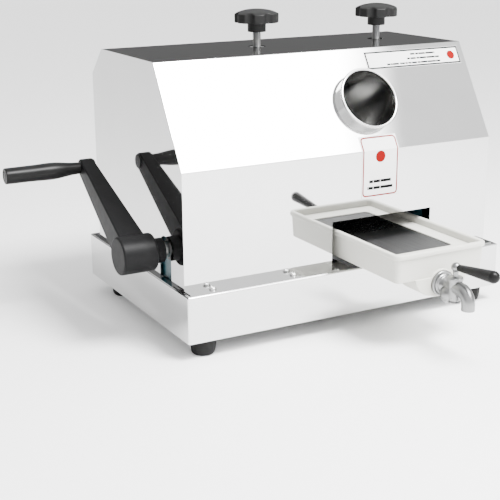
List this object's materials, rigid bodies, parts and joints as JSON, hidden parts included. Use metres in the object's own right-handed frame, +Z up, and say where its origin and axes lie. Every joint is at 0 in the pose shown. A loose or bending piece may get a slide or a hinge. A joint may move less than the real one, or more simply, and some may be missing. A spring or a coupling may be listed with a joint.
{
  "type": "manual sugarcane juicer",
  "caption": "Hand-cranked roller sugarcane juicer: a geared mill in a polished steel housing with a slanted feed tube, star-knob pressure screws, a slide-out juice tray and a tap.",
  "frame": {"origin": "on the bench plane, under the middle of the whole machine with its crank at rest and its tray in", "axes": "+Z up; -Y towards the user at the feed tube, tray and tap; -X towards the crank"},
  "size_m": [0.654, 0.5649, 0.4229],
  "materials": {
    "polished_stainless": "mirror-polished stainless sheet with faint handling haze",
    "satin_stainless": "turned or rolled stainless, satin",
    "strainer_steel": "dark perforated stainless sheet",
    "machined_steel": "machined carbon steel, lightly oiled",
    "zinc_steel": "bright zinc plate",
    "bright_screws": "polished pan-head screws",
    "dark_steel": "blackened steel",
    "black_enamel": "semi-gloss black enamel over a casting",
    "teal_paint": "dark teal machine paint over a casting",
    "cast_gear_iron": "cast iron, teeth machined",
    "bronze": "plain bearing bronze",
    "black_rubber": "moulded black rubber, matte",
    "black_gloss_plastic": "smooth black plastic, glossy",
    "black_matte_plastic": "moulded black plastic, satin",
    "ivory_plastic": "off-white moulded plastic, soft gloss",
    "grey_tap_metal": "grey plated tap metal",
    "white_film": "white self-adhesive film, blank or with plain marks"
  },
  "bodies": {
    "housing": {"base_box": "polished_stainless", "base_stiffeners": "zinc_steel", "rubber_feet": "black_rubber", "foot_screws": "zinc_steel", "housing_cover": "polished_stainless", "side_panel_left": "polished_stainless", "side_panel_right": "polished_stainless", "cover_screws": "bright_screws", "feed_tube": "satin_stainless", "instruction_plate": "white_film", "feed_label": "white_film", "frame_cheek_left": "teal_paint", "frame_cheek_right": "teal_paint", "shaft_stand": "teal_paint", "frame_bolts": "zinc_steel", "frame_nuts": "zinc_steel", "tie_rods": "machined_steel", "tie_rod_nuts": "zinc_steel", "roller_bushes": "bronze", "crank_bushes": "bronze", "turn_plate": "machined_steel", "discharge_chute": "satin_stainless", "juice_funnel": "satin_stainless", "tray_shelf": "satin_stainless", "shelf_screws": "bright_screws"},
    "crank": {"crank_arm": "black_enamel", "hub_set_screw": "dark_steel", "crank_sleeve": "black_enamel", "crank_shaft": "machined_steel", "crank_shaft_rings": "dark_steel", "drive_pinion": "machined_steel", "grip_axle": "machined_steel"},
    "grip": {"grip": "black_gloss_plastic", "grip_cap": "black_gloss_plastic"},
    "front_roller": {"front_roller": "satin_stainless", "main_gear": "cast_gear_iron", "front_gear": "machined_steel", "front_shaft_rings": "dark_steel"},
    "back_roller": {"back_roller": "satin_stainless", "back_gear": "machined_steel", "back_shaft_rings": "dark_steel"},
    "top_carriage": {"top_bearing_blocks": "cast_gear_iron", "top_bushes": "bronze", "screw_pins": "dark_steel"},
    "top_roller": {"top_roller": "satin_stainless", "top_gear": "machined_steel", "top_shaft_rings": "dark_steel"},
    "left_screw": {"pressure_screw_left": "zinc_steel", "screw_knob_left": "black_matte_plastic"},
    "right_screw": {"pressure_screw_right": "zinc_steel", "screw_knob_right": "black_matte_plastic"},
    "tray": {"juice_tray": "ivory_plastic", "strainer_frame": "ivory_plastic", "strainer_plate": "strainer_steel", "tap_body": "grey_tap_metal", "tap_gasket": "black_rubber", "tap_back_nut": "grey_tap_metal"},
    "tap_key": {"tap_plug": "grey_tap_metal", "tap_lever": "black_gloss_plastic"}
  },
  "joints": [
    {"name": "crank_spin", "type": "hinge", "parent": "housing", "child": "crank", "pos_m": [-0.209, 0.0169, 0.12953], "axis": [1, 0, 0], "continuous": true},
    {"name": "grip_spin", "type": "hinge", "parent": "crank", "child": "grip", "pos_m": [-0.273, 0.18002, 0.21336], "axis": [1, 0, 0], "continuous": true},
    {"name": "front_roller_spin", "type": "hinge", "parent": "housing", "child": "front_roller", "pos_m": [0.138, 0.09789, 0.20097], "axis": [1, 0, 0], "continuous": true},
    {"name": "back_roller_spin", "type": "hinge", "parent": "housing", "child": "back_roller", "pos_m": [0.138, 0.16991, 0.20097], "axis": [1, 0, 0], "continuous": true},
    {"name": "top_carriage_lift", "type": "slide", "parent": "housing", "child": "top_carriage", "axis": [0, 0, 1], "range_m": [0, 0.003]},
    {"name": "top_roller_spin", "type": "hinge", "parent": "top_carriage", "child": "top_roller", "pos_m": [0.138, 0.1339, 0.261], "axis": [1, 0, 0], "continuous": true},
    {"name": "left_screw_turn", "type": "hinge", "parent": "top_carriage", "child": "left_screw", "pos_m": [0.036, 0.1339, 0.39], "axis": [0, 0, 1], "range_deg": [0, 617.15]},
    {"name": "right_screw_turn", "type": "hinge", "parent": "top_carriage", "child": "right_screw", "pos_m": [0.24, 0.1339, 0.39], "axis": [0, 0, 1], "range_deg": [0, 617.15]},
    {"name": "tray_slide", "type": "slide", "parent": "housing", "child": "tray", "axis": [0, -1, 0], "range_m": [0, 0.16]},
    {"name": "tap_turn", "type": "hinge", "parent": "tray", "child": "tap_key", "pos_m": [0.1383, -0.2031, 0.0894], "axis": [0, 0, 1], "range_deg": [-90, 90]}
  ],
  "couplings": [
    {"joint": "front_roller_spin", "follows": "crank_spin", "ratio": -0.35},
    {"joint": "back_roller_spin", "follows": "crank_spin", "ratio": -0.35},
    {"joint": "top_roller_spin", "follows": "crank_spin", "ratio": 0.35},
    {"joint": "left_screw_turn", "follows": "top_carriage_lift", "rad_per_m": 3590.4},
    {"joint": "right_screw_turn", "follows": "top_carriage_lift", "rad_per_m": 3590.4}
  ]
}
